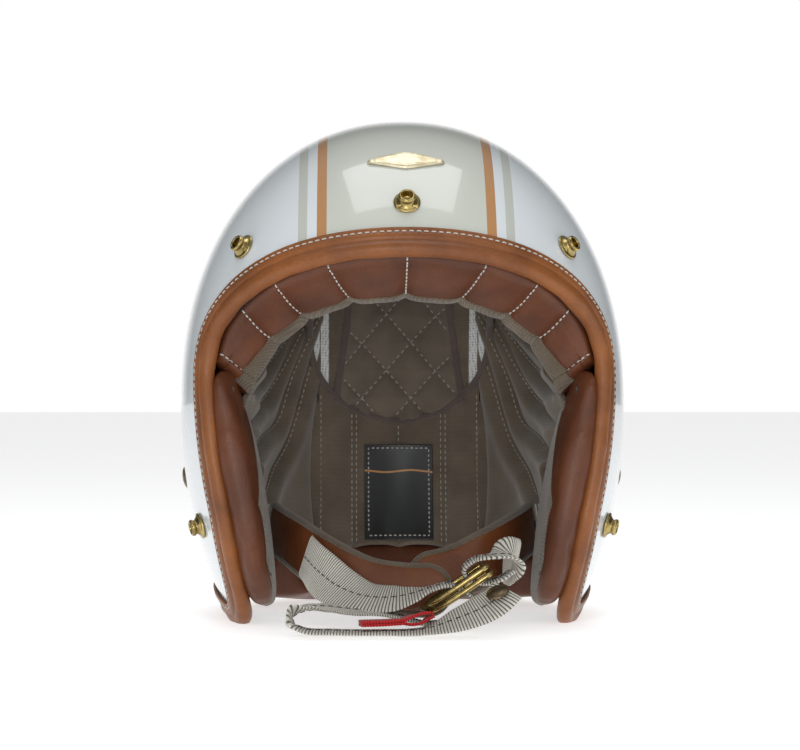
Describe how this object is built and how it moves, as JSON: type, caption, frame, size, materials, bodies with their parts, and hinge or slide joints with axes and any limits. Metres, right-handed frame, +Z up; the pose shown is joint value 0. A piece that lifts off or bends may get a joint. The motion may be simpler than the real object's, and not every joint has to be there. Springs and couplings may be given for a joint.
{
  "type": "open face motorcycle helmet",
  "caption": "Three-quarter open face helmet: gloss shell, leather edge trim and pads, knit liner, brass snap posts and a webbing chin strap closed by two D-rings.",
  "frame": {"origin": "under the middle of the helmet, on the surface it stands on", "axes": "+Z up, -Y out of the face opening, +X towards the wearer's left"},
  "size_m": [0.246, 0.2817, 0.2748],
  "materials": {
    "shell_paint": "gloss",
    "impact_foam": "matte",
    "cognac_leather": "satin",
    "brown_leather": "satin",
    "quilted_fabric": "matte",
    "liner_knit": "matte",
    "air_mesh": "matte",
    "label_satin": "satin",
    "plate_plastic": "matte",
    "brass": "polished",
    "steel": "satin",
    "webbing": "matte",
    "red_webbing": "matte"
  },
  "bodies": {
    "helmet": {"outer_shell": "shell_paint", "impact_liner": "impact_foam", "edge_trim": "cognac_leather", "brow_pad": "brown_leather", "crown_pad": "quilted_fabric", "nape_panel": "liner_knit", "liner_label": "label_satin", "neck_roll": "brown_leather", "badge": "brass", "liner_side_right": "liner_knit", "liner_side_left": "liner_knit", "crown_mesh_right": "air_mesh", "crown_mesh_left": "air_mesh", "cheek_plate_right": "plate_plastic", "cheek_plate_left": "plate_plastic", "cheek_pad_right": "brown_leather", "cheek_pad_left": "brown_leather", "strap_rivet_right": "steel", "strap_rivet_left": "steel", "strap_anchor_right": "steel", "strap_anchor_left": "steel", "strap_root_right": "webbing", "strap_root_left": "webbing", "cheek_snap_right_1": "steel", "cheek_snap_right_2": "steel", "cheek_snap_left_1": "steel", "cheek_snap_left_2": "steel", "stud_center": "brass", "stud_nut_center": "steel", "stud_brow_right": "brass", "stud_nut_brow_right": "steel", "stud_brow_left": "brass", "stud_nut_brow_left": "steel", "stud_side_right": "brass", "stud_nut_side_right": "steel", "stud_side_left": "brass", "stud_nut_side_left": "steel"},
    "chin_strap": {"strap_sleeve_right": "brown_leather", "strap_sleeve_left": "brown_leather", "strap_webbing_long": "webbing", "strap_webbing_short": "webbing", "tail_snap": "steel"},
    "ring_outer": {"d_ring_outer": "brass"},
    "ring_inner": {"d_ring_inner": "brass"},
    "tab": {"pull_tab": "red_webbing"}
  },
  "joints": [
    {"name": "strap_swing", "type": "hinge", "parent": "helmet", "child": "chin_strap", "pos_m": [0, -0.002, 0.0488], "axis": [1, 0, 0], "range_deg": [-25, 50]},
    {"name": "ring_outer_rock", "type": "hinge", "parent": "chin_strap", "child": "ring_outer", "pos_m": [0.0426, -0.102, 0.032], "axis": [0, 1, 0], "range_deg": [-0.5, 2]},
    {"name": "ring_inner_rock", "type": "hinge", "parent": "chin_strap", "child": "ring_inner", "pos_m": [0.04034, -0.102, 0.0353], "axis": [0, 1, 0], "range_deg": [-0.5, 2]},
    {"name": "tab_swing", "type": "hinge", "parent": "ring_outer", "child": "tab", "pos_m": [0.0168, -0.113, 0.0143], "axis": [0, 1, 0], "range_deg": [-1, 25]}
  ],
  "couplings": [
    {"joint": "ring_inner_rock", "follows": "ring_outer_rock", "ratio": 1}
  ]
}
